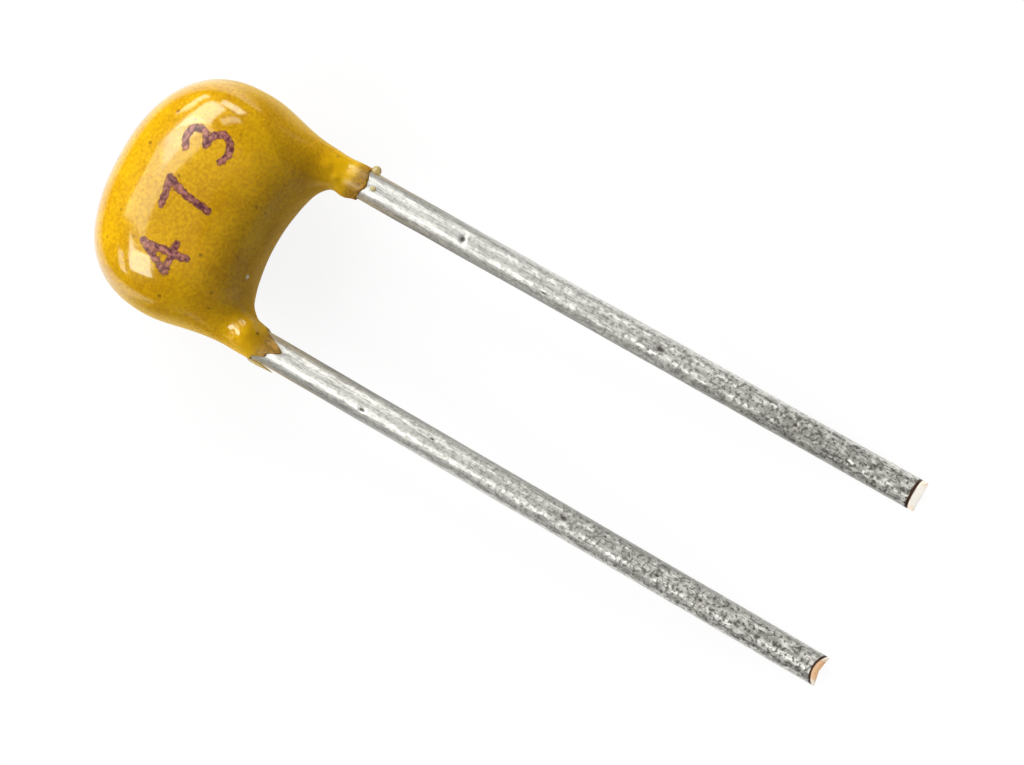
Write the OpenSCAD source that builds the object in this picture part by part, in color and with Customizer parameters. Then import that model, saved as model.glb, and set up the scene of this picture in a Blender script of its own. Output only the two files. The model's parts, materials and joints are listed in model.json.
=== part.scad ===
// Radial-lead multilayer ceramic capacitor, dip-coated in epoxy.
// It lies on its back on z = 0: the belly of the coat and the cut end of each wire touch the surface.
// Millimetres. The marked face is up (+Z), the wires run towards -Y, and X crosses from wire to wire.
// The pieces are drawn in the chip's own frame, centred on the chip with the wires' plane at z = 0,
// and module lying() then tips the whole capacitor over onto its wire ends.

/* [Chip] */
// Length of the chip over both terminations, from wire to wire
chip_l = 2; // [1.6:0.05:3.2]
// Width of the chip over the terminations, along the wires
chip_w = 1.25; // [0.8:0.05:2.5]
// Height of the chip over the terminations, through the layers
chip_h = 1.25; // [0.85:0.05:1.8]
// Thickness of the fired and plated metal on the chip's ends
term_t = 0.05; // [0.03:0.01:0.08]
// How far each termination wraps onto the chip's four long sides
term_band = 0.4; // [0.25:0.05:0.6]
// Radius of the ceramic's tumbled edges
edge_r = 0.06; // [0.03:0.01:0.1]

/* [Electrodes] */
// Number of printed electrodes, shared out in turn between the two ends
plates = 24; // [4:2:40]
// Thickness of one electrode
plate_t = 0.01; // [0.006:0.001:0.016]
// Solid ceramic over the first electrode and under the last
cover_t = 0.12; // [0.08:0.01:0.2]
// Ceramic left between an electrode's free end and the other termination
end_gap = 0.25; // [0.15:0.01:0.35]
// Ceramic left along each side of an electrode
side_gap = 0.15; // [0.08:0.01:0.25]

/* [Wires] */
// Diameter of each wire
lead_d = 0.5; // [0.4:0.01:0.6]
// Length of bare wire below the coat
lead_free = 10; // [5:0.5:28]
// Length of wire that lies along the chip's end, up from its lower edge
lead_grip = 1.1; // [0.8:0.01:1.3]
// How far each wire steps outwards inside the coat, between the chip and the board
lead_jog = 0.16; // [0.05:0.01:0.3]
// Length of wire over which it steps
jog_h = 0.7; // [0.65:0.05:0.9]
// Angle at which each bare wire leans outwards
lead_splay = 0.3; // [0:0.1:1.5]
// Length of the two slants that the cutter leaves on a wire's end
cut_l = 0.14; // [0.05:0.01:0.3]
// Thickness of the blunt edge between the two slants
cut_edge = 0.07; // [0.02:0.01:0.12]

/* [Solder] */
// Solder between a wire and its termination
joint_gap = 0.06; // [0.03:0.01:0.1]
// Thickness of the solder round the far side of a wire
solder_t = 0.05; // [0.03:0.01:0.09]
// Length of the solder along a wire
solder_l = 1; // [0.6:0.05:1.1]
// Width of the solder where it wets the termination
solder_w = 0.85; // [0.65:0.05:1]

/* [Coat] */
// Epoxy over each broad face of the chip
coat_face = 0.55; // [0.45:0.01:0.8]
// Epoxy above the chip's upper edge
coat_top = 0.8; // [0.6:0.01:1.1]
// Epoxy below the chip's lower edge, between the wires
coat_base = 0.73; // [0.6:0.01:1]
// Epoxy outside each wire at the widest level
coat_side = 0.4; // [0.3:0.01:0.6]
// Level of the widest point, below the chip's centre
wide_drop = 0.08; // [0:0.01:0.3]
// Height over which the sides draw in from the widest level to the wires
draw_in_h = 1.45; // [1.2:0.01:1.7]
// Rise of the coat's lower edge from the wires' level to its middle
arch_h = 0.53; // [0.4:0.01:0.8]
// Length of the thin sleeve that the coat leaves on each wire
sleeve_l = 0.22; // [0.1:0.01:0.6]
// Thickness of that sleeve
sleeve_t = 0.04; // [0.02:0.01:0.06]

/* [Hidden] */
lead_r = lead_d / 2;
// Ceramic block inside the terminations
block = [chip_l, chip_w, chip_h] - 2 * [term_t, term_t, term_t];
// Rise from one electrode to the next
plate_step = (block.z - 2 * cover_t - plate_t) / (plates - 1);
// Wire axis beside the chip, and the wires' upper end
grip_x = chip_l / 2 + joint_gap + lead_r;
lead_top = lead_grip - chip_w / 2;
// Levels of the coat along Y, from its top down to the ends of its sleeves
coat_top_y = chip_w / 2 + coat_top;
wide_y = -wide_drop;
base_y = -chip_w / 2 - coat_base;
root_y = base_y - arch_h;
sleeve_y = root_y - sleeve_l;
tip_y = sleeve_y - lead_free;
// The two bends of the step in each wire, the lower one a little way inside the coat
bend_in = 0.05;
lower_bend = [grip_x + lead_jog, root_y + bend_in];
upper_bend = [grip_x, lower_bend.y + jog_h];
// How much a bend swells beyond the wire's radius
bend_swell = 0.01;
// Half sizes of the coat
belly = chip_h / 2 + coat_face;
neck_r = lead_r + sleeve_t;
wide_x = grip_x + lead_r + coat_side;
// Exponents of the coat's rounded outlines: 2 is an ellipse, and a larger one is fuller
dome_power = 2.3;
arch_power = 2.2;
face_power = 2.5;
// Share of the sweep from wire to top over which the coat swells, and how it crowds towards the corner
swell = 0.75;
crowd = 0.8;
// Sections of the coat along each sleeve, flank and quarter dome, and points round a section
sleeve_steps = 2;
side_steps = 10;
dome_steps = 10;
ring = 32;
overcut = 0.5;

hands = ["left", "right"];
// Sign of X on each side
hand_sign = [-1, 1];
function digits(n) = n < 10 ? str("0", n) : str(n);
function plate_name(n) = str(hands[n % 2], "_electrode_", digits(floor(n / 2) + 1));
pieces = ["termination", "solder_joint", "lead_wire"];

// ---- outline of the coat, in the plane of the wires ----

// Distance from the middle to the axis of a wire's bare stretch at level y
function wire_x(y) = lower_bend.x + (lower_bend.y - y) * tan(lead_splay);

// Point on a quarter superellipse with half sizes a and b, at angle t from its X end
function rounded(a, b, power, t) = [a * pow(cos(t), 2 / power), b * pow(sin(t), 2 / power)];

// Half width of the flank: a cosine-squared curve from the widest level in to the sleeve
function flank_x(y) =
    let (fall = min((wide_y - y) / draw_in_h, 1), sleeve_x = wire_x(y) + neck_r)
    sleeve_x + (wide_x - sleeve_x) * pow(cos(90 * fall), 2);

// Outer point at share u of the sweep, from the root of the sleeve up the flank and over the dome
side_share = side_steps / (side_steps + dome_steps);
function outer_point(u) =
    u < side_share
        ? let (y = root_y + (wide_y - root_y) * u / side_share) [flank_x(y), y]
        : let (t = 90 * (u - side_share) / (1 - side_share))
          [0, wide_y] + rounded(wide_x, coat_top_y - wide_y, dome_power, t);

// Inner point at share u, along the arched lower edge between the wires
function inner_point(u) =
    [0, root_y] + rounded(wire_x(root_y) - neck_r, arch_h, arch_power, 90 * pow(u, crowd));

// ---- surface of the coat: a loft of superellipse sections from wire to wire ----

function smooth(x) = let (v = min(max(x, 0), 1)) v * v * (3 - 2 * v);
function signed_pow(x, power) = sign(x) * pow(abs(x), power);

// One section: a closed ring between an inner and an outer point, with a half thickness and a power
function section(inner, outer, half, power) =
    let (middle = (inner + outer) / 2, reach = (outer - inner) / 2)
    [for (k = [0 : ring - 1])
        let (t = 360 * k / ring, along = reach * signed_pow(cos(t), 2 / power))
        [middle.x + along.x, middle.y + along.y, half * signed_pow(sin(t), 2 / power)]];

// Section across the body at share u: it swells from the wire's thickness to the belly
function body_section(u) =
    let (grown = smooth(u / swell))
    section(inner_point(u), outer_point(u),
            neck_r + (belly - neck_r) * grown, 2 + (face_power - 2) * grown);

// Section round the wire at level y, along the sleeve
function sleeve_section(y) =
    section([wire_x(y) - neck_r, y], [wire_x(y) + neck_r, y], neck_r, 2);

function mirrored(points) = [for (p = points) [-p.x, p.y, p.z]];

half_steps = side_steps + dome_steps;
right_sections = concat(
    [for (i = [0 : sleeve_steps - 1]) sleeve_section(sleeve_y + sleeve_l * i / sleeve_steps)],
    [for (i = [0 : half_steps]) body_section(i / half_steps)]);
last = len(right_sections) - 1;
sections = concat(right_sections, [for (i = [last - 1 : -1 : 0]) mirrored(right_sections[i])]);
coat_points = [for (s = sections, p = s) p];
coat_faces = concat(
    [[for (k = [0 : ring - 1]) k]],
    [for (i = [0 : len(sections) - 2], k = [0 : ring - 1])
        let (a = i * ring + k, b = i * ring + (k + 1) % ring)
        each [[a, b + ring, b], [a, a + ring, b + ring]]],
    [[for (k = [ring - 1 : -1 : 0]) (len(sections) - 1) * ring + k]]);

// ---- how the capacitor lies ----

// Height of a point, and of the lowest point of the coat and of a wire's end, when tipped by an angle
function height_at(p, angle) = p.y * sin(angle) + p.z * cos(angle);
function belly_low(angle) = min([for (p = coat_points) height_at(p, angle)]);
wire_foot = [0, tip_y + cut_l, -lead_r];
// Halve the interval until the belly and the wires' ends are level
function level_angle(low, high, rounds) =
    let (try = (low + high) / 2)
    rounds == 0 ? try
        : height_at(wire_foot, try) > belly_low(try) ? level_angle(try, high, rounds - 1)
        : level_angle(low, try, rounds - 1);
lie_angle = level_angle(0, 30, 24);
lie_lift = -belly_low(lie_angle);
// Ends along Y once tipped, which centre the part on Y = 0
function reach_at(p) = p.y * cos(lie_angle) - p.z * sin(lie_angle);
lie_back = max([for (p = coat_points) reach_at(p)]);
lie_front = min(reach_at([0, tip_y, cut_edge / 2]), reach_at([0, tip_y + cut_l, lead_r]));
lie_y = -(lie_back + lie_front) / 2;

module lying() translate([0, lie_y, lie_lift]) rotate([lie_angle, 0, 0]) children();

// Draws the right-hand piece where it is, or its mirror image on the left
module on_side(side) {
    if (side > 0) children();
    else mirror([1, 0, 0]) children();
}

// ---- chip ----

// Rectangle with rounded corners, centred
module rounded_rect(size, r) {
    corner = [for (t = [0 : 30 : 90]) r * [cos(t), sin(t)]];
    inset = size / 2 - [r, r];
    polygon(concat(
        [for (c = corner) [inset.x + c.x, inset.y + c.y]],
        [for (c = corner) [-inset.x - c.y, inset.y + c.x]],
        [for (c = corner) [-inset.x - c.x, -inset.y - c.y]],
        [for (c = corner) [inset.x + c.y, -inset.y - c.x]]));
}

// Block with all twelve edges rounded, centred
module rounded_block(size, r) {
    intersection() {
        linear_extrude(size.z, center = true) rounded_rect([size.x, size.y], r);
        rotate([90, 0, 0])
            linear_extrude(size.y, center = true) rounded_rect([size.x, size.z], r);
        rotate([90, 0, 90])
            linear_extrude(size.x, center = true) rounded_rect([size.y, size.z], r);
    }
}

// Printed electrode n, counted from the bottom: it starts flush with one end of the ceramic
module electrode(n) {
    side = hand_sign[n % 2];
    plate_l = block.x - end_gap;
    z = plate_step * (n - (plates - 1) / 2);
    translate([side * (block.x - plate_l) / 2, 0, z])
        cube([plate_l, block.y - 2 * side_gap, plate_t], center = true);
}

// Fired ceramic with a closed pocket round each electrode, open only at the electrode's own end
module ceramic_block() {
    color("tan") lying()
        difference() {
            rounded_block(block, edge_r);
            for (n = [0 : plates - 1]) electrode(n);
        }
}

// Metal cap over one end of the ceramic: an end wall and four narrow bands
module cap() {
    difference() {
        intersection() {
            rounded_block([chip_l, chip_w, chip_h], edge_r + term_t);
            translate([chip_l / 2 - term_band, -chip_w, -chip_h])
                cube([chip_l, 2 * chip_w, 2 * chip_h]);
        }
        rounded_block(block, edge_r);
    }
}

module termination(side) { color("silver") lying() on_side(side) cap(); }

// ---- wires and solder ----

// Draws a shape that stands on +Z so that it starts at one point of the wires' plane and runs to another
module between(from, to)
    translate([from.x, from.y, 0])
        rotate([0, 0, atan2(from.x - to.x, to.y - from.y)])
            rotate([-90, 0, 0]) children();

module rod(from, to) { between(from, to) cylinder(h = norm(to - from), r = lead_r, $fn = 64); }

// Bare wire with its end at z = 0, pinched by the cutter to two slants that meet in a blunt edge along X
module cut_rod(length) {
    wide = lead_r + overcut;
    top = length + overcut;
    intersection() {
        cylinder(h = length, r = lead_r, $fn = 64);
        rotate([90, 0, 90])
            linear_extrude(2 * wide, center = true)
                polygon([[cut_edge / 2, 0], [lead_r, cut_l], [wide, cut_l], [wide, top],
                         [-wide, top], [-wide, cut_l], [-lead_r, cut_l], [-cut_edge / 2, 0]]);
    }
}

// Tinned wire: a straight grip beside the chip, a slanted step out to the splay, and the bare stretch
module wire() {
    tip = [wire_x(tip_y), tip_y];
    rod(upper_bend, [grip_x, lead_top]);
    rod(lower_bend, upper_bend);
    for (bend = [upper_bend, lower_bend]) translate(bend) sphere(r = lead_r + bend_swell, $fn = 64);
    between(tip, lower_bend) cut_rod(norm(lower_bend - tip));
}

module lead_wire(side) { color("gainsboro") lying() on_side(side) wire(); }

// Solder fillet: it wraps the wire and spreads to the end wall of the termination
module fillet() {
    difference() {
        translate([grip_x, lead_top - lead_grip / 2, 0])
            rotate([-90, 0, 0]) linear_extrude(solder_l, center = true)
                hull() {
                    circle(lead_r + solder_t, $fn = 32);
                    translate([-lead_r - joint_gap, 0]) square([joint_gap, solder_w], center = true);
                }
        wire();
        rounded_block([chip_l, chip_w, chip_h], edge_r + term_t);
    }
}

module solder_joint(side) { color("darkgray") lying() on_side(side) fillet(); }

// ---- coat ----

// Dipped epoxy, moulded tight round everything inside it
module epoxy_coat() {
    color("goldenrod") lying()
        difference() {
            polyhedron(coat_points, coat_faces);
            rounded_block(block, edge_r);
            for (side = hand_sign)
                on_side(side) {
                    cap();
                    fillet();
                    wire();
                }
        }
}

epoxy_coat();
ceramic_block();
for (h = [0, 1]) {
    termination(hand_sign[h]);
    solder_joint(hand_sign[h]);
    lead_wire(hand_sign[h]);
}
for (n = [0 : plates - 1])
    color("dimgray") lying() electrode(n);
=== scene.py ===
"""A dipped multilayer ceramic capacitor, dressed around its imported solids.

Blender works in metres. The sizes below are in millimetres, and laid() turns them into metres.
"""
import json

import bpy
import numpy as np
from mathutils import Matrix, Quaternion, Vector

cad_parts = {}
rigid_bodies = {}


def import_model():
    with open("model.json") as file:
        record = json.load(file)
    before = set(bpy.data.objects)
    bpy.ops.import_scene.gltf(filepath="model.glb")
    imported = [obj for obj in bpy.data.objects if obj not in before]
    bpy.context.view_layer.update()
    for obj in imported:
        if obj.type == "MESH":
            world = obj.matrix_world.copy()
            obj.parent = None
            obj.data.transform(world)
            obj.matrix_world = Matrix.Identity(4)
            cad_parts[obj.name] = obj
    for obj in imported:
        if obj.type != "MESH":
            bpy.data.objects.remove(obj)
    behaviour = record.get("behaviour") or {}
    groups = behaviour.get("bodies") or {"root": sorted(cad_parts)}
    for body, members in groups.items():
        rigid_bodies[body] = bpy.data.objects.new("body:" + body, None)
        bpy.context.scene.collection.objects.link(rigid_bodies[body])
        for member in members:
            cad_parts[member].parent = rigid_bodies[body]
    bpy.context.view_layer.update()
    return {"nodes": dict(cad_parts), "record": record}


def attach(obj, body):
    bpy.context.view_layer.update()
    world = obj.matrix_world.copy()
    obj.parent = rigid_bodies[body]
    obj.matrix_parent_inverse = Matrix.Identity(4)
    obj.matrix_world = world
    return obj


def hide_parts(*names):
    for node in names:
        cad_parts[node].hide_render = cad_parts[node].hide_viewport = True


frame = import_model()
nodes = frame["nodes"]


# ---- Printed electrodes ------------------------------------------------------------------------
# Twenty-four thin layers of nickel paste, printed on the ceramic sheets before they are stacked
# and fired. They reach one end of the chip in turn, where the termination joins them.

class Shade:
    """One value in a finish: a socket of its node tree. Arithmetic on it adds Math nodes."""

    def __init__(self, tree, socket=None):
        self.tree = tree
        self.socket = socket

    def node(self, kind, settings=None, sockets=None, out=0):
        """Adds a node, sets its settings, then the values or links of its sockets."""
        made = self.tree.nodes.new(kind)
        for name, value in (settings or {}).items():
            setattr(made, name, value)
        for name, value in (sockets or {}).items():
            if isinstance(value, Shade):
                self.tree.links.new(value.socket, made.inputs[name])
            else:
                made.inputs[name].default_value = value
        return Shade(self.tree, made.outputs[out])

    def maths(self, operation, *others):
        """A Math node whose first value is this one."""
        values = dict(enumerate((self, *others)))
        return self.node("ShaderNodeMath", {"operation": operation}, values)

    def __add__(self, other):
        return self.maths("ADD", other)

    __radd__ = __add__

    def __sub__(self, other):
        return self.maths("SUBTRACT", other)

    def __rsub__(self, other):
        return self.maths("MULTIPLY_ADD", -1, other)

    def __mul__(self, other):
        return self.maths("MULTIPLY", other)

    __rmul__ = __mul__

    def step(self, low, high):
        """0 where the value is at low and 1 where it is at high, with a smooth step between."""
        return self.node("ShaderNodeMapRange", {"interpolation_type": "SMOOTHSTEP"},
                         {"Value": self, "From Min": low, "From Max": high})

    def between(self, under, over):
        """Colour that goes from under, where the value is 0, to over, where it is 1."""
        return self.node("ShaderNodeMix", {"data_type": "RGBA"}, {0: self, 6: under, 7: over}, 2)

    def noise(self, where, scale, detail=2.0):
        """Noise from 0 to 1 whose lumps are about 1 / scale across, in the units of where."""
        return self.node("ShaderNodeTexNoise", {},
                         {"Vector": where, "Scale": scale, "Detail": detail})

    def place_mm(self):
        """Place on the object, in millimetres."""
        place = self.node("ShaderNodeTexCoord", out="Object")
        return self.node("ShaderNodeVectorMath", {"operation": "SCALE"},
                         {"Vector": place, "Scale": 1000.0})

    def axis(self, letter):
        """The X, Y or Z of a vector."""
        return self.node("ShaderNodeSeparateXYZ", {}, {"Vector": self}, letter)

    def attribute(self, name, out="Fac"):
        """A value that the mesh carries at its points."""
        return self.node("ShaderNodeAttribute", {"attribute_name": name}, out=out)

    def ray(self, kind):
        """1 for the rays of one kind, and 0 for the others."""
        return self.node("ShaderNodeLightPath", out=f"Is {kind} Ray")

    def bump(self, height, distance_mm, under=None):
        """Normal of a surface that a height of 0 to 1 raises by up to distance_mm."""
        sockets = {"Height": height, "Distance": distance_mm / 1000.0}
        if under:
            sockets["Normal"] = under
        return self.node("ShaderNodeBump", {}, sockets)


def paint(red, green, blue):
    """Linear colour of an sRGB colour given from 0 to 255: the usual sRGB curve, undone."""
    c = np.array([red, green, blue]) / 255.0
    linear = np.where(c <= 0.04045, c / 12.92, ((c + 0.055) / 1.055) ** 2.4)
    return (*(float(v) for v in linear), 1.0)


def new_finish(name, **constants):
    """A material, the start of its shades, and its Principled node with constants set."""
    material = bpy.data.materials.new(name)
    material.use_nodes = True
    tree = material.node_tree
    body = tree.nodes["Principled BSDF"]
    for socket, value in constants.items():
        body.inputs[socket.replace("_", " ")].default_value = value
    return material, Shade(tree), body


def feed(body, **shades):
    """Links each shade to the socket of that name on a shader."""
    for socket, shade in shades.items():
        shade.tree.links.new(shade.socket, body.inputs[socket.replace("_", " ")])


def finish_nodes(material, names):
    """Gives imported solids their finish."""
    for name in names:
        nodes[name].material_slots[0].material = material


nickel, start, body = new_finish("printed_nickel", Metallic=1.0)
paste = start.noise(start.place_mm(), 60.0, 4.0)
feed(body,
     Base_Color=paste.step(0.35, 0.7).between(paint(128, 122, 116), paint(176, 170, 162)),
     Roughness=0.42 + 0.2 * paste,
     Normal=start.bump(paste, 0.004))
finish_nodes(nickel, [n for n in nodes if "_electrode_" in n])

# ---- Ceramic block -----------------------------------------------------------------------------
# Barium titanate, sintered into one piece round the electrodes and tumbled to round its edges.
# It is a matte tan, with a fine grain and a faint line for each sheet of the stack.

SHEET_MM = 0.0391

fired, start, body = new_finish("fired_ceramic")
grain = start.noise(start.place_mm(), 45.0, 4.0)
sheets = (start.place_mm().axis("Z") * (2 * np.pi / SHEET_MM)).maths("SINE") * 0.5 + 0.5
feed(body,
     Base_Color=(0.7 * grain + 0.3 * sheets).between(paint(158, 128, 98), paint(206, 178, 146)),
     Roughness=0.55 + 0.25 * grain,
     Normal=start.bump(grain, 0.006))
finish_nodes(fired, ["ceramic_block"])

# ---- Terminations ------------------------------------------------------------------------------
# Metal paste dipped over each end of the ceramic, fired on, and plated with nickel and matte tin.
# Each one joins the twelve electrodes that reach its end.

plated, start, body = new_finish("plated_end", Metallic=1.0)
crystals = start.node("ShaderNodeTexVoronoi", {}, {"Vector": start.place_mm(), "Scale": 55.0})
cloud = start.noise(start.place_mm(), 6.0, 3.0)
feed(body,
     Base_Color=cloud.between(paint(196, 196, 190), paint(226, 226, 222)),
     Roughness=0.38 + 0.25 * cloud,
     Normal=start.bump(crystals, 0.004))
finish_nodes(plated, ["left_termination", "right_termination"])

# ---- Wires -------------------------------------------------------------------------------------
# Copper-clad wire, drawn to 0.5 mm and tinned. It grips the chip's end, steps outwards inside the
# coat, and runs bare to an end that the cutter pinched, which bares the copper.

LEAD_R = 0.25
GRIP_X = 1.31
GRIP_TOP = 0.475
UPPER_BEND = np.array([GRIP_X, -1.135])
LOWER_BEND = np.array([1.47, -1.835])
SPLAY = np.radians(0.3)
SLEEVE_Y = -2.105
TIP_Y = -12.105
CUT_L = 0.14
CUT_EDGE = 0.07
HOLLOW_L = 0.3
# The wire's waves rise from a surface set in by this much, so that their crests stay at its size
LEAD_WAVE_ROOM = 0.004

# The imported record's mount gives how the capacitor leans as it lies, and where the chip's middle is
pin = next(m for m in frame["record"]["mounts"] if m["name"] == "right_pin")
pin_axis = np.array(pin["axis"])
pin_mid_y = (TIP_Y + CUT_L + SLEEVE_Y) / 2
LIE = np.arctan2(-pin_axis[2], -pin_axis[1])
CHIP_UP = np.array([0.0, -np.sin(LIE), np.cos(LIE)])
CHIP_TOP = np.array([0.0, np.cos(LIE), np.sin(LIE)])
CHIP_MIDDLE = np.array([0.0, *pin["pos_m"][1:]]) * 1000 - pin_mid_y * CHIP_TOP


def laid(points):
    """World metres of points in the chip's own frame in mm: x + y along the chip + z through it."""
    x, y, z = points[..., 0:1], points[..., 1:2], points[..., 2:3]
    across = x * np.array([1.0, 0.0, 0.0])
    return (CHIP_MIDDLE + across + y * CHIP_TOP + z * CHIP_UP) / 1000


def unlaid(points):
    """The chip's own frame, in mm, of world points in metres: laid, undone."""
    offset = points * 1000 - CHIP_MIDDLE
    return np.stack([offset[..., 0], offset @ CHIP_TOP, offset @ CHIP_UP], -1)


def skin(name, rings, **attributes):
    """Closed mesh whose skin joins each ring of points to the next, with a pole at either end.

    rings is an array of levels x points round x 3, in the chip's own frame. Each attribute is an
    array of levels x points round, or of vectors there, and its poles take the end ring's mean.
    """
    levels, around = rings.shape[:2]

    def with_poles(values):
        """One row for each point, and the two poles' rows after them."""
        flat = values.reshape(levels * around, -1)
        return np.vstack([flat, values[0].reshape(around, -1).mean(0),
                          values[-1].reshape(around, -1).mean(0)])

    level, k = np.meshgrid(np.arange(levels - 1) * around, np.arange(around), indexing="ij")
    after = (k + 1) % around
    quads = np.stack([level + k, level + after, level + around + after, level + around + k], -1)
    k = np.arange(around)
    after = (k + 1) % around
    foot, head = levels * around, levels * around + 1
    last = (levels - 1) * around
    fans = np.vstack([np.stack([np.full(around, foot), after, k], -1),
                      np.stack([np.full(around, head), last + k, last + after], -1)])
    mesh = bpy.data.meshes.new(name)
    mesh.from_pydata(laid(with_poles(rings)).tolist(), [],
                     quads.reshape(-1, 4).tolist() + fans.tolist())
    mesh.shade_smooth()
    for label, values in attributes.items():
        kind, field = ("FLOAT", "value") if values.ndim == 2 else ("FLOAT_VECTOR", "vector")
        made = mesh.attributes.new(label, kind, "POINT")
        made.data.foreach_set(field, with_poles(values).ravel().astype(np.float32))
    made = bpy.data.objects.new(name, mesh)
    bpy.context.scene.collection.objects.link(made)
    return made


def smooth(x):
    """0 below 0, 1 above 1, and 3 x^2 - 2 x^3 between."""
    v = np.clip(x, 0, 1)
    return v * v * (3 - 2 * v)


def hill(x, y, centre, spread):
    """1 at the centre, falling away as exp(-r^2) with r in spreads."""
    return np.exp(-((x - centre[0]) / spread[0]) ** 2 - ((y - centre[1]) / spread[1]) ** 2)


# Nicks of the feeding tool, for the right wire and the left one: each one's level along the wire,
# its place across it, and its length, width and depth
NICKS = {
    1: [(-3.99, 0.012, 0.045, 0.055, 0.05), (-7.526, 0.029, 0.09, 0.045, 0.032),
        (-7.356, -0.066, 0.03, 0.025, 0.02), (-9.925, 0.029, 0.045, 0.03, 0.03),
        (-5.5, -0.10, 0.05, 0.02, 0.012), (-10.9, -0.07, 0.06, 0.02, 0.012)],
    -1: [(-3.92, -0.07, 0.055, 0.035, 0.032), (-7.504, 0.052, 0.08, 0.04, 0.028),
         (-9.2, 0.017, 0.055, 0.03, 0.035), (-9.975, 0.026, 0.05, 0.03, 0.03),
         (-5.1, 0.09, 0.05, 0.02, 0.012), (-8.2, 0.13, 0.03, 0.02, 0.015)],
}
# How much of its depth a nick really has, and how high its rim stands against that
NICK_SHARE = 0.4
RIM_SHARE = 0.35
# Softness of the cut's edge, and how far behind it the dark lip lies and spreads
CUT_SOFT = 0.012
LIP_BACK = 0.02
LIP_SPREAD = 0.035


def drawn_wire(name, side, cut_length, notch, seed):
    """A tube carried along the wire's path, from its cut end up to its grip on the chip.

    A ring is a circle of the wire's radius, thinned near the end to z between limits that fall
    evenly to the cut's blunt edge, the upper one over cut_length and the lower one over CUT_L. The
    end is hollowed by notch * (1 - (x / r)^2). A nick is a hill taken off the radius, with a lower
    one put on beside it, and slow sines make the wire a few micrometres uneven.
    """
    draw = np.random.default_rng(seed)
    around = 96
    pinched, bare_length = 0.32, LOWER_BEND[1] - TIP_Y
    s = np.concatenate([np.linspace(0, pinched, 40, endpoint=False),
                        np.linspace(pinched, bare_length, 460)])
    tip = LOWER_BEND + bare_length * np.array([np.tan(SPLAY), -1.0])
    bare = tip + s[:, None] * np.array([-np.sin(SPLAY), np.cos(SPLAY)])
    path = np.vstack([bare, np.linspace(LOWER_BEND, UPPER_BEND, 9)[1:],
                      np.linspace(UPPER_BEND, [GRIP_X, GRIP_TOP], 9)[1:]])
    heading = np.gradient(path, axis=0)
    heading /= np.linalg.norm(heading, axis=1, keepdims=True)
    across = np.stack([heading[:, 1], -heading[:, 0]], 1)
    turn = np.linspace(0, 2 * np.pi, around, endpoint=False)
    along = np.linalg.norm(np.diff(path, axis=0, prepend=path[:1]), axis=1).cumsum()[:, None]
    radius = np.full((len(path), around), LEAD_R - LEAD_WAVE_ROOM)
    for count in (1, 2, 3, 5):
        for wave in draw.uniform(0.6, 7.0, 3):
            phase = draw.uniform(0, 2 * np.pi)
            radius += 0.0005 * np.sin(count * turn + wave * along + phase)
    facing = np.sin(turn) > 0
    sideways, lengthways = LEAD_R * np.cos(turn), path[:, 1:2]
    wear = np.zeros_like(radius)
    for level, place, length, width, depth in NICKS[side]:
        dent = facing * hill(sideways, lengthways, (place * side, level), (width, length))
        rim = facing * hill(sideways, lengthways, (place * side + width, level - length),
                            (width, 0.7 * length))
        radius += NICK_SHARE * depth * (RIM_SHARE * rim - dent)
        wear = np.maximum(wear, dent)
    upper, lower = (np.where(along > length, 2 * LEAD_R,
                             CUT_EDGE / 2 + (LEAD_R - CUT_EDGE / 2) * along / length)
                    for length in (cut_length, CUT_L))
    x = radius * np.cos(turn)
    z = np.clip(radius * np.sin(turn), -lower, upper)
    fade = np.clip(1 - along / HOLLOW_L, 0, 1) ** 1.5
    hollow = notch * (1 - np.clip(x / LEAD_R, -1, 1) ** 2) * fade
    points = np.stack([path[:, 0:1] + across[:, 0:1] * x + heading[:, 0:1] * hollow,
                       path[:, 1:2] + across[:, 1:2] * x + heading[:, 1:2] * hollow, z], -1)
    points[..., 0] *= side
    # What the finish needs at each point: whether it is cut, or on the dark lip just behind the cut
    # or in a nick, and its place on the unworn wire
    cut = smooth((cut_length - along) / CUT_SOFT + 0.5) * np.ones(around)
    lip = np.exp(-((along - cut_length - LIP_BACK) / LIP_SPREAD) ** 2) * np.ones(around)
    drawn = np.stack([np.cos(turn) * LEAD_R + 0 * along, np.sin(turn) * LEAD_R + 0 * along,
                      along + 0 * turn], -1)
    if side > 0:
        points = points[:, ::-1]
        cut, lip, wear, drawn = cut[:, ::-1], lip[:, ::-1], wear[:, ::-1], drawn[:, ::-1]
    return skin(name, points, cut=cut, lip=lip, wear=wear, drawn=drawn)


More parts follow.
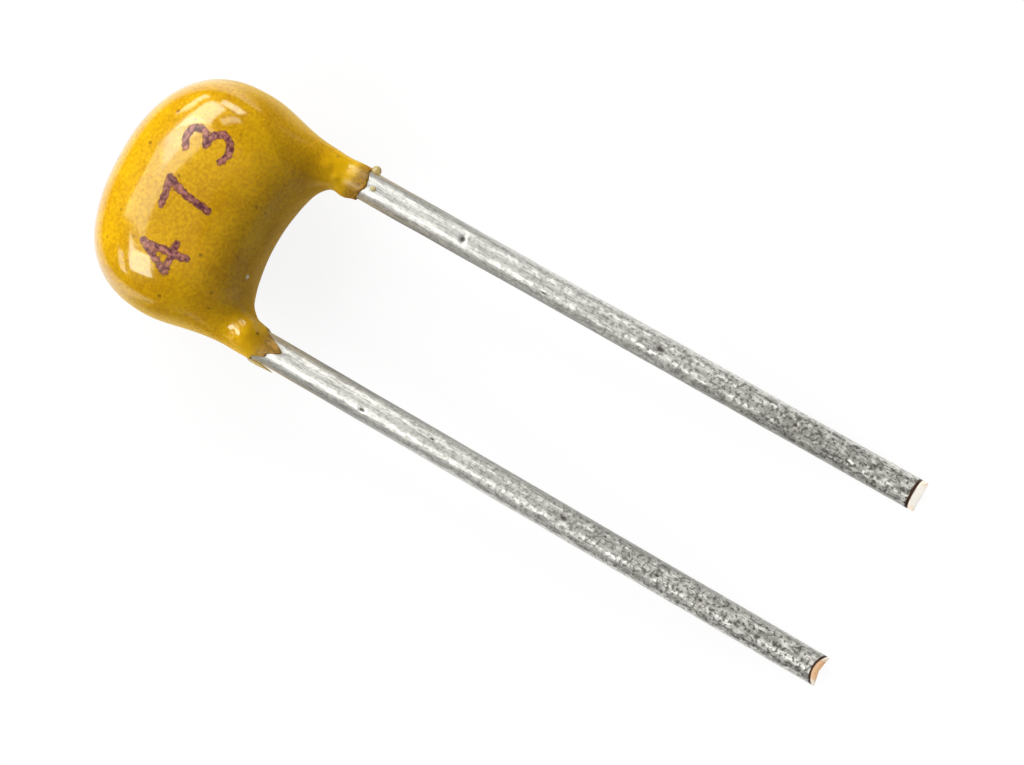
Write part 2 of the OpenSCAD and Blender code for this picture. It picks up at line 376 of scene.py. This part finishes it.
def tin_finish(name, cut_middle, cut_side, seed):
    """Drawn tin: streaks along the wire, and a coarse dark grain, thicker towards the cut end.

    The cut goes from one colour in the middle to another at the wire's sides.
    """
    material, start, body = new_finish(name)
    drawn = start.attribute("drawn", "Vector")
    shifted = start.node("ShaderNodeVectorMath", {"operation": "ADD"},
                         {0: drawn, 1: (seed, 0.0, 0.0)})
    lengthwise = start.node("ShaderNodeMapping", {}, {"Vector": shifted, "Scale": (1.0, 1.0, 0.07)})
    lumps_at = start.node("ShaderNodeMapping", {}, {"Vector": shifted, "Scale": (1.0, 1.0, 0.7)})
    band = start.noise(lengthwise, 7.0, 2.0)
    streak = start.noise(lengthwise, 26.0, 3.0)
    hairline = start.noise(lengthwise, 60.0, 2.0)
    lump = start.noise(lumps_at, 12.0, 3.0)
    grit = start.noise(shifted, 17.0, 3.0)
    # Darker, more grained tin towards the cut end; paler sides: a painted reflection of the table
    nearer_cut_end = drawn.axis("Z").step(9.5, 0.5)
    aside = drawn.axis("X").maths("ABSOLUTE")
    # Less darkening at the wire's sides: a painted reflection of the white table along its edges
    marked = 1 - 0.6 * aside.step(0.19, 0.235)
    mottle = (0.65 * lump + 0.2 * streak + 0.3 * band).step(0.46, 0.66)
    dull = marked * (0.22 + 0.78 * nearer_cut_end) * mottle
    tin = dull.between(paint(232, 231, 223), paint(150, 148, 140))
    tin = (marked * hairline.step(0.5, 0.62) * 0.5).between(tin, paint(120, 120, 116))
    speck = marked * grit.step(0.48, 0.62) * (0.2 + 0.7 * nearer_cut_end)
    tin = speck.between(tin, paint(74, 72, 66))
    # The nicks are painted dark, painted shade in their hollows, and so is the lip behind the cut
    nick_shade = start.attribute("wear").step(0.25, 0.8) * 0.85
    tin = nick_shade.between(tin, paint(58, 48, 44))
    # A dark brown lip painted just behind the cut: painted shade at the crease where the cut begins
    tin = (start.attribute("lip") * (0.5 + grit)).step(0.15, 0.7).between(tin, paint(58, 32, 12))
    cut = start.attribute("cut")
    cut_colour = (aside + 0.05 * (lump - 0.5)).step(0.13, 0.2).between(cut_middle, cut_side)
    grained = 0.4 + 0.6 * nearer_cut_end
    gritty = start.bump(grit * grained, 0.004)
    rough = start.bump((0.5 * streak + 0.5 * lump) * grained, 0.008, gritty)
    feed(body,
         Base_Color=cut.between(tin, cut_colour),
         Metallic=(0.7 - 0.45 * cut) * (1 - 0.4 * speck),
         Roughness=0.3 + 0.15 * streak + 0.12 * dull + 0.2 * cut + 0.2 * speck,
         Normal=rough)
    return material


right_wire = drawn_wire("right_wire", 1, 0.09, 0.0, 11)
left_wire = drawn_wire("left_wire", -1, 0.03, 0.09, 12)
bright_cut = tin_finish("tinned_wire_bright_cut", paint(254, 248, 238), paint(254, 240, 222), 0.0)
copper_cut = tin_finish("tinned_wire_copper_cut", paint(244, 200, 154), paint(252, 240, 222), 3.0)
for wire, finish, node in ((right_wire, bright_cut, "right_lead_wire"),
                           (left_wire, copper_cut, "left_lead_wire")):
    wire.data.materials.append(finish)
    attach(wire, "root")
    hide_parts(node)

# ---- Solder joints -----------------------------------------------------------------------------
# Lead-free solder that wraps each wire where it grips the chip, and wets the termination.
# It holds the chip between the wires while the coat is dipped.

soldered, start, body = new_finish("soft_solder", Metallic=1.0)
flow = start.noise(start.place_mm(), 9.0, 3.0)
feed(body,
     Base_Color=flow.between(paint(168, 170, 172), paint(214, 215, 216)),
     Roughness=0.22 + 0.3 * flow,
     Normal=start.bump(flow, 0.02))
finish_nodes(soldered, ["left_solder_joint", "right_solder_joint"])

# ---- Epoxy coat --------------------------------------------------------------------------------
# One shell of golden epoxy, dipped over the chip and fused. It swells over the chip, hangs in an
# arch between the wires, and ends in a thin ragged sleeve on each of them.

COAT_TOP_Y = 1.425
WIDE_Y = -0.08
ROOT_Y = -1.885
ARCH_H = 0.53
BELLY = 1.175
WIDE_X = 1.96
NECK_R = 0.29
SLEEVE_ROUND = 0.05
SLEEVE_SINK = 0.006
DRAW_IN_H = 1.45
DOME_POWER, ARCH_POWER, FACE_POWER = 2.3, 2.2, 2.5
SWELL, CROWD = 0.75, 0.8


def wire_x(y):
    """Distance from the middle to the bare wire's axis at level y."""
    return LOWER_BEND[0] + (LOWER_BEND[1] - y) * np.tan(SPLAY)


def signed_power(x, power):
    """The power of a number's size, with the number's sign."""
    return np.sign(x) * np.abs(x) ** power


def rounded(a, b, power, t):
    """Quarter superellipse: (a cos(t)^(2 / power), b sin(t)^(2 / power))."""
    c, s = np.clip(np.cos(t), 0, 1), np.clip(np.sin(t), 0, 1)
    return np.stack([a * c ** (2 / power), b * s ** (2 / power)], -1)


def coat_rings(steps, sleeve_steps, around):
    """Loft of superellipse sections from the right sleeve's end, over the body, to the left one's.

    Along u from 0 to 1 the outer edge climbs the flank, a cosine-squared curve, and then a quarter
    superellipse to the top, while the inner edge climbs the arch. A section spans from one to the
    other, and swells from the wire's thickness to the belly by 3 v^2 - 2 v^3 of v = u / SWELL.
    """
    u = np.linspace(0, 1, steps)
    y = ROOT_Y + (WIDE_Y - ROOT_Y) * 2 * u
    fall = np.minimum((WIDE_Y - y) / DRAW_IN_H, 1)
    sleeve_x = wire_x(y) + NECK_R
    flank = np.stack([sleeve_x + (WIDE_X - sleeve_x) * np.cos(np.pi / 2 * fall) ** 2, y], -1)
    dome = np.array([0, WIDE_Y]) + rounded(WIDE_X, COAT_TOP_Y - WIDE_Y, DOME_POWER,
                                           np.pi / 2 * np.clip(2 * u - 1, 0, 1))
    outer = np.where(u[:, None] < 0.5, flank, dome)
    inner = np.array([0, ROOT_Y]) + rounded(wire_x(ROOT_Y) - NECK_R, ARCH_H, ARCH_POWER,
                                            np.pi / 2 * u ** CROWD)
    grown = smooth(u / SWELL)
    sleeve_y = np.linspace(SLEEVE_Y, ROOT_Y, sleeve_steps, endpoint=False)
    on_wire = np.stack([wire_x(sleeve_y), sleeve_y], -1)
    # The sleeve rounds over at its end, down into the wire's surface
    lift = np.clip((sleeve_y - SLEEVE_Y) / SLEEVE_ROUND, 0, 1)
    sunk = LEAD_R - SLEEVE_SINK
    grip = sunk + (NECK_R - sunk) * np.sqrt(1 - (1 - lift) ** 2)
    outer = np.vstack([on_wire + grip[:, None] * [1, 0], outer])
    inner = np.vstack([on_wire - grip[:, None] * [1, 0], inner])
    half = np.concatenate([grip, NECK_R + (BELLY - NECK_R) * grown])
    power = np.concatenate([np.full(sleeve_steps, 2.0), 2 + (FACE_POWER - 2) * grown])[:, None]
    t = np.linspace(0, 2 * np.pi, around, endpoint=False)
    along = signed_power(np.cos(t), 2 / power)[..., None]
    middle, reach = (outer + inner)[:, None] / 2, (outer - inner)[:, None] / 2
    plan = middle + reach * along
    height = half[:, None, None] * signed_power(np.sin(t), 2 / power)[..., None]
    right = np.concatenate([plan, height], -1)
    left = right[-2::-1] * [-1, 1, 1]
    return np.concatenate([right, left]), t


def ring_normals(rings):
    """Outward unit normals: the cross product of the steps along and round the loft."""
    along = np.gradient(rings, axis=0)
    around = np.roll(rings, -1, 1) - np.roll(rings, 1, 1)
    normals = np.cross(along, around)
    return normals / (np.linalg.norm(normals, axis=-1, keepdims=True) + 1e-12)


BUBBLE = (-0.645, -1.367, 0.46)
# What the dip left on the surface: place in the chip's frame, spread and height of each swelling
SWELLINGS = [
    ((-1.40, -1.72, 0.34), 0.23, 0.13),
    ((-1.07, -1.72, 0.0), 0.16, 0.045),
    ((1.16, -1.93, 0.0), 0.13, 0.055),
    ((1.16, -1.66, 0.05), 0.12, -0.02),
    ((1.456, -1.574, 0.37), 0.08, 0.02),
    ((1.341, -1.766, 0.29), 0.06, 0.02),
    ((1.58, -1.86, 0.22), 0.12, -0.018),
    ((1.70, -1.75, 0.0), 0.20, -0.02),
    ((-1.563, -1.532, 0.37), 0.035, -0.03),
    ((-1.60, -1.60, 0.33), 0.05, 0.022),
    (BUBBLE, 0.03, 0.04),
]
# The coat's waves rise from a surface set in by this much, so that their crests stay at its size
WAVE_ROOM = 0.012


def dipped(rings, t):
    """Moves the loft's points to what a real dip leaves.

    Each sleeve's end is pulled along its wire by an amount that depends on the angle round it.
    Along the normals come the swellings, as Gaussian hills, and slow sines of a few micrometres.
    """
    draw = np.random.default_rng(5)
    rings = rings.copy()
    degrees = np.degrees(t)[None, :]
    side = np.sign(rings[..., 0])

    def lobe(centre, width):
        """1 at one angle round the sleeve, in degrees, falling away on both sides."""
        away = (degrees - centre + 180) % 360 - 180
        return np.exp(-(away / width) ** 2)

    left_pull = (0.15 - 0.43 * lobe(104, 35) - 0.13 * lobe(60, 12) - 0.06 * lobe(215, 25)
                 + 0.02 * lobe(20, 30) * np.sin(5 * t + 1))
    right_pull = -0.07 - 0.09 * lobe(88, 38) + 0.008 * np.sin(9 * t + 2) + 0.03 * lobe(250, 40)
    fade = smooth((-1.45 - rings[..., 1]) / 0.66)
    rings[..., 1] += fade * np.where(side < 0, left_pull, right_pull)
    push = np.full(rings.shape[:2], -WAVE_ROOM)
    for centre, spread, height in SWELLINGS:
        away = ((rings - centre) ** 2).sum(-1)
        push += height * np.exp(-(away / spread ** 2) ** 1.2)
    free = smooth((rings[..., 1] - SLEEVE_Y) / 0.5)
    for wavelength, height in ((1.3, 0.005), (0.8, 0.0016), (0.5, 0.0006)):
        for heading in draw.normal(size=(4, 3)):
            heading *= 2 * np.pi / wavelength / np.linalg.norm(heading)
            push += free * height / 2 * np.sin(rings @ heading + draw.uniform(0, 2 * np.pi))
    return rings + push[..., None] * ring_normals(rings)


# The stamped value, 473 for 47 nanofarads: strokes as runs of points in mm round each figure
FIGURES = [
    [[(0.11, 0.37), (-0.23, -0.11), (0.25, -0.14)], [(0.10, 0.36), (0.08, -0.37)]],
    [[(-0.22, 0.34), (0.21, 0.37), (0.04, 0.04), (-0.06, -0.37)]],
    [[(-0.19, 0.31), (-0.04, 0.375), (0.12, 0.33), (0.18, 0.19), (0.11, 0.07), (-0.05, 0.02)],
     [(-0.05, 0.02), (0.13, -0.04), (0.21, -0.18), (0.13, -0.32), (-0.05, -0.375), (-0.21, -0.29)]],
]
FIGURE_X = (-0.98, -0.035, 0.87)
FIGURE_Y = (-0.20, -0.10, 0.04)
STAMP_TURN = np.radians(8)
STROKE_R = 0.062
# The marked face is what lies above this height
FACE_Z = 0.3


def stamp_distance(points):
    """Distance in mm from each point's place on the marked face to the edge of the nearest stroke.

    For each straight stroke it is the length of the offset from the nearest point of the segment,
    less the stroke's half width; the smallest counts. Points on the back are far away.
    """
    nearest = np.full(len(points), 1.0)
    c, s = np.cos(STAMP_TURN), np.sin(STAMP_TURN)
    for figure, x, y in zip(FIGURES, FIGURE_X, FIGURE_Y):
        flat = points[:, :2] - [x, y]
        flat = flat @ np.array([[c, -s], [s, c]])
        for stroke in figure:
            for a, b in zip(np.array(stroke[:-1]), np.array(stroke[1:])):
                share = np.clip(((flat - a) @ (b - a)) / ((b - a) @ (b - a)), 0, 1)
                away = np.linalg.norm(flat - a - share[:, None] * (b - a), axis=1)
                nearest = np.minimum(nearest, away - STROKE_R)
    return np.where(points[:, 2] > FACE_Z, nearest, 1.0)


rings, turn = coat_rings(steps=190, sleeve_steps=24, around=200)
coat = skin("coat", dipped(rings, turn)[:, ::-1])

# The chip, the solder and the wires are taken out of it, so that it stays a shell
held = [n for n in nodes if n == "ceramic_block" or n.endswith(("_termination", "_joint", "_wire"))]
inner = bpy.data.collections.new("held_pieces")
for name in held:
    copy = bpy.data.objects.new("held_" + name, nodes[name].data.copy())
    inner.objects.link(copy)
    weld = copy.modifiers.new("weld", "WELD")
    weld.merge_threshold = 1e-7
bpy.context.scene.collection.children.link(inner)
hollow = coat.modifiers.new("hollow", "BOOLEAN")
hollow.operation = "DIFFERENCE"
hollow.operand_type = "COLLECTION"
hollow.solver = "MANIFOLD"
hollow.collection = inner
bpy.context.view_layer.update()
shell = bpy.data.meshes.new_from_object(coat.evaluated_get(bpy.context.evaluated_depsgraph_get()))
coat.modifiers.remove(hollow)
coat.data = shell
for copy in list(inner.objects):
    bpy.data.objects.remove(copy)
bpy.data.collections.remove(inner)

# From the body to the sleeves' ends the resin gets thinner over the wire
THIN_FROM_Y = -1.3
THIN_L = 0.9
vertices = np.empty(len(shell.vertices) * 3)
shell.vertices.foreach_get("co", vertices)
vertices = unlaid(vertices.reshape(-1, 3))
for name, values in (("stamp", stamp_distance(vertices)),
                     ("thin", (THIN_FROM_Y - vertices[:, 1]) / THIN_L)):
    made = shell.attributes.new(name, "FLOAT", "POINT")
    made.data.foreach_set("value", values.astype(np.float32))

epoxy, start, body = new_finish("golden_epoxy", IOR=1.5, Subsurface_Weight=0.12,
                                Subsurface_Scale=0.0003, Subsurface_Radius=(1.0, 0.5, 0.1),
                                Specular_Tint=(0.72, 1.0, 0.78, 1.0), Coat_Roughness=0.08)
place = start.place_mm()
cloud = start.noise(place, 1.6, 3.0)
fine = start.noise(place, 20.0, 3.0)
peel = start.noise(place, 5.0, 2.0)
gold = (0.4 * cloud + 0.6 * fine).step(0.34, 0.66).between(paint(202, 146, 2), paint(234, 182, 10))
# Thin over the wire it is a brighter gold; at the sleeve's end a speckled brown is painted shade
thin = start.attribute("thin")
gold = (thin.step(0.0, 0.5) * 0.75).between(gold, paint(252, 192, 3))
sleeve_end_shade = fine.step(0.4, 0.6).between(paint(92, 54, 6), paint(160, 106, 12))
# Painted shade where the sleeve's end rounds down onto the wire
gold = ((thin + 0.3 * (cloud - 0.5)).step(0.62, 0.9) * 0.8).between(gold, sleeve_end_shade)
# Dark grains of pigment and pinholes: small dots round the middles of a few scattered cells
cells = start.node("ShaderNodeTexVoronoi", {}, {"Vector": place, "Scale": 4.6})
chosen = start.node("ShaderNodeTexVoronoi", {}, {"Vector": place, "Scale": 4.6}, "Color")
lucky = start.node("ShaderNodeSeparateColor", {}, {"Color": chosen})
dots = cells.step(0.2, 0.07) * lucky.step(0.4, 0.85)
gold = (dots * 0.75).between(gold, paint(118, 78, 20))
# One pale dot painted on the bubble's small swelling: a painted highlight
off_bubble = start.node("ShaderNodeVectorMath", {"operation": "DISTANCE"},
                        {0: place, 1: tuple(1000 * laid(np.array(BUBBLE)))}, "Value")
gold = (off_bubble.step(0.05, 0.02) * 0.9).between(gold, paint(250, 244, 226))
# Ink: ragged at the edge, and darker there, where it dries last
edge = start.attribute("stamp") + 0.09 * (start.noise(place, 17.0, 3.0) - 0.5)
ink = edge.step(0.012, -0.012)
blot = start.noise(place, 15.0, 4.0)
dried = blot.step(0.36, 0.62).between(paint(184, 106, 120), paint(92, 34, 52))
ink_colour = (edge.step(-0.04, -0.01) * 0.8).between(dried, paint(108, 32, 40))
# The resin is duller where it ran slowly: in the arch, and at the sleeves' ends
arched = place.axis("X").maths("ABSOLUTE").step(1.4, 1.0) * place.axis("Y").step(5.0, 4.3)
ragged = thin.step(0.5, 0.85)
feed(body,
     Base_Color=(ink * (0.5 + 0.8 * blot).maths("MINIMUM", 1.0)).between(gold, ink_colour),
     Coat_Weight=(1 - 0.8 * ink) * (1 - 0.8 * arched) * (1 - 0.8 * ragged),
     Roughness=0.09 + 0.06 * cloud + 0.18 * ink + 0.35 * ragged + 0.3 * arched,
     Normal=start.bump(peel, 0.004, start.bump(fine, 0.001)))
coat.data.materials.clear()
coat.data.materials.append(epoxy)
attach(coat, "root")
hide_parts("epoxy_coat")

# ---- Beads of resin ----------------------------------------------------------------------------
# Clear resin that ran ahead of the coat as it was dipped and set on the wires: two small beads on
# the right wire, and a thin film that hangs off the left wire's outer side.


def bead(name, centre, half, taper=0.0, bend=0.0):
    """Ellipsoid with half sizes along x, y and z, narrowed towards -y by taper, bowed by bend."""
    lean = np.linspace(0.03, np.pi - 0.03, 28)[:, None]
    turn = np.linspace(0, 2 * np.pi, 36, endpoint=False)
    along = -np.cos(lean) + 0 * turn
    width = np.sin(lean) * (1 + taper * along)
    points = np.stack([half[0] * width * np.cos(turn) + bend * along ** 2, half[1] * along,
                       half[2] * width * np.sin(turn)], -1) + np.array(centre)
    made = skin(name, points[:, ::-1])
    made.data.materials.append(clear_resin)
    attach(made, "root")


clear_resin, start, body = new_finish("clear_resin", IOR=1.45, Transmission_Weight=0.6,
                                      Roughness=0.05)
haze = start.noise(start.place_mm(), 18.0, 2.0)
feed(body,
     Base_Color=haze.between(paint(252, 226, 130), paint(255, 244, 205)),
     Normal=start.bump(haze, 0.004))
bead("resin_bead_outer", (1.74, -2.227, 0.05), (0.085, 0.08, 0.08))
bead("resin_bead_upper", (1.486, -2.365, 0.245), (0.045, 0.05, 0.03))
bead("resin_film", (-1.745, -2.12, 0.02), (0.028, 0.23, 0.06), taper=0.5, bend=-0.008)

# ---- Table, lights and camera ------------------------------------------------------------------
# A white table under a pale tent, with a broad lamp to either side of the capacitor's top end and
# one behind it. Its gloss shows a window's panes on both sides and a screen between them, and a
# little light reaches each wire's cut end.

MIDDLE = Vector((-0.0000522, -0.0003241, 0.0006))
TABLE_REACH = 0.6
WHITE_LEVEL = 1.12
TENT_LEVEL = 0.15
# In gloss the tent and the far table are equally dim, so that no horizon shows between them
DIM_LEVEL = 0.05


def grey(level):
    """Linear colour of a neutral grey."""
    return (level, level, level, 1.0)


def glow(start, colour, level):
    """A shader that only shines."""
    return start.node("ShaderNodeEmission", {}, {"Color": colour, "Strength": level})


def mixed(start, share, under, over):
    """A shader that goes from under, where share is 0, to over, where it is 1."""
    return start.node("ShaderNodeMixShader", {}, {0: share, 1: under, 2: over})


floor_mesh = bpy.data.meshes.new("table")
corners = [(x * TABLE_REACH, y * TABLE_REACH, 0) for x, y in ((-1, -1), (1, -1), (1, 1), (-1, 1))]
floor_mesh.from_pydata(corners, [], [(0, 1, 2, 3)])
table = bpy.data.objects.new("table", floor_mesh)
bpy.context.scene.collection.objects.link(table)
white, start, body = new_finish("white_table", Base_Color=grey(0.55), Roughness=0.9)
# Painted reflections: polished surfaces see a glow painted on the table by place in mm, white beside
# the wires and beyond the top end, golden round the body and under the arch for the coat's own light,
# and dim further off
aside = start.place_mm().axis("X").maths("ABSOLUTE")
level = start.place_mm().axis("Y")
beside_wires = (aside.step(0.0, 1.6) * aside.step(14.0, 4.0)
                * level.step(3.6, 0.0) * level.step(-14.0, -7.0))
beyond_top = level.step(5.6, 7.6) * level.step(20.0, 8.0)
beside_body = (aside.step(0.6, 2.0) * aside.step(5.0, 2.6)
               * level.step(2.0, 4.0) * level.step(10.0, 7.0))
under_arch = aside.step(1.8, 0.8) * level.step(2.6, 4.0) * level.step(7.0, 5.0)
bright = glow(start, grey(1.0), WHITE_LEVEL)
dim = glow(start, grey(1.0), DIM_LEVEL)
# A golden glow on the table: a painted reflection standing in for the coat's own light
golden = glow(start, (1.0, 0.72, 0.25, 1.0), 1.0)
around = mixed(start, 0.75 * beside_body + 0.5 * under_arch, dim, golden)
reflected = mixed(start, 0.9 * beside_wires + 0.8 * beyond_top, around, bright)
# The camera sees it white, with the capacitor's shadow on it
shaded = Shade(start.tree, body.outputs[0])
plain = mixed(start, 0.8 * (start.ray("Camera") + start.ray("Transmission")), shaded, bright)
shown = mixed(start, start.ray("Glossy"), plain, reflected)
start.tree.links.new(shown.socket, start.tree.nodes["Material Output"].inputs["Surface"])
floor_mesh.materials.append(white)

world = bpy.data.worlds.new("tent")
bpy.context.scene.world = world
world.use_nodes = True
start = Shade(world.node_tree)
tent = start.ray("Glossy").between(grey(TENT_LEVEL), grey(DIM_LEVEL))
feed(world.node_tree.nodes["Background"], Color=start.ray("Camera").between(tent, grey(1.0)))

# Name, azimuth, elevation and roll in degrees, width and height in metres, and level. The lights
# only light; the shines are only seen, in what is glossy or clear.
LIGHTS = [
    ("right_light", 45, 28, 0, 0.132, 0.085, 4.7),
    ("left_light", 148, 37, 0, 0.075, 0.08, 4.7),
    ("back_light", 93, 41, 0, 0.045, 0.11, 3.0),
]
SHINES = [
    ("main_pane", 51, 41, 39, 0.079, 0.042, 4.7),
    ("low_pane", 58, 19, 39, 0.066, 0.016, 3.6),
    ("side_pane", 20, 24, -20, 0.046, 0.025, 4.6),
    ("ceiling", 90, 80, 0, 0.080, 0.080, 0.15),
    ("high_pane", 18, 51, 44, 0.050, 0.018, 2.4),
    ("narrow_pane", 78, 50, 86, 0.034, 0.018, 3.2),
    ("left_pane", 145, 53, -44, 0.066, 0.045, 5.6),
    ("left_sill", 136, 28, -38, 0.058, 0.018, 2.6),
    ("screen", 93, 54, -87, 0.066, 0.038, 1.8),
]
TIP_LIGHTS = [("tip_light", -85, 40, 0, 0.002, 0.0015, 4.0)]
LEFT_TIP = Vector((-0.00153, -0.0066, 0.0003))
RIGHT_TIP = Vector((0.00153, -0.0066, 0.0003))
# What each group of lamps is aimed at, and its distance from there in metres
GROUPS = [(MIDDLE, 0.12, LIGHTS), (MIDDLE, 0.115, SHINES),
          (LEFT_TIP, 0.0025, TIP_LIGHTS), (RIGHT_TIP, 0.0025, TIP_LIGHTS)]


def direction(azimuth, elevation):
    """Unit vector towards an azimuth from +X and an elevation, in degrees."""
    a, e = np.radians(azimuth), np.radians(elevation)
    return Vector((np.cos(a) * np.cos(e), np.sin(a) * np.cos(e), np.sin(e)))


for aim, distance, lamps in GROUPS:
    for name, azimuth, elevation, roll, width, height, level in lamps:
        towards = direction(azimuth, elevation)
        lamp = bpy.data.lights.new(name, "AREA")
        lamp.shape = "RECTANGLE"
        lamp.size, lamp.size_y = width, height
        lamp.energy = level * np.pi * width * height
        made = bpy.data.objects.new(name, lamp)
        made.visible_glossy = made.visible_transmission = lamps is SHINES
        made.visible_diffuse = lamps is not SHINES
        made.location = aim + towards * distance
        made.visible_camera = False
        facing = towards.to_track_quat("Z", "Y") @ Quaternion((0, 0, 1), np.radians(roll))
        made.rotation_euler = facing.to_euler()
        bpy.context.scene.collection.objects.link(made)

CAMERA_AZIMUTH, CAMERA_ELEVATION, CAMERA_ROLL = -82.907, 73.5, -67.418
CAMERA_DISTANCE = 0.14
PIXELS_PER_MM = 65.15
FRAME_WIDTH_PX = 1024
back = direction(CAMERA_AZIMUTH, CAMERA_ELEVATION)
level_right = Vector((0, 0, 1)).cross(back).normalized()
level_up = back.cross(level_right)
roll = np.radians(CAMERA_ROLL)
right = np.cos(roll) * level_right + np.sin(roll) * level_up
up = back.cross(right)
lens = bpy.data.cameras.new("camera")
lens.sensor_width = 36
lens.lens = PIXELS_PER_MM * CAMERA_DISTANCE * 1000 * lens.sensor_width / FRAME_WIDTH_PX
lens.clip_start, lens.clip_end = 0.002, 5
camera = bpy.data.objects.new("camera", lens)
turned = Matrix((right, up, back)).transposed().to_4x4()
camera.matrix_world = Matrix.Translation(MIDDLE + back * CAMERA_DISTANCE) @ turned
bpy.context.scene.collection.objects.link(camera)
bpy.context.scene.camera = camera
bpy.context.scene.view_settings.view_transform = "Standard"
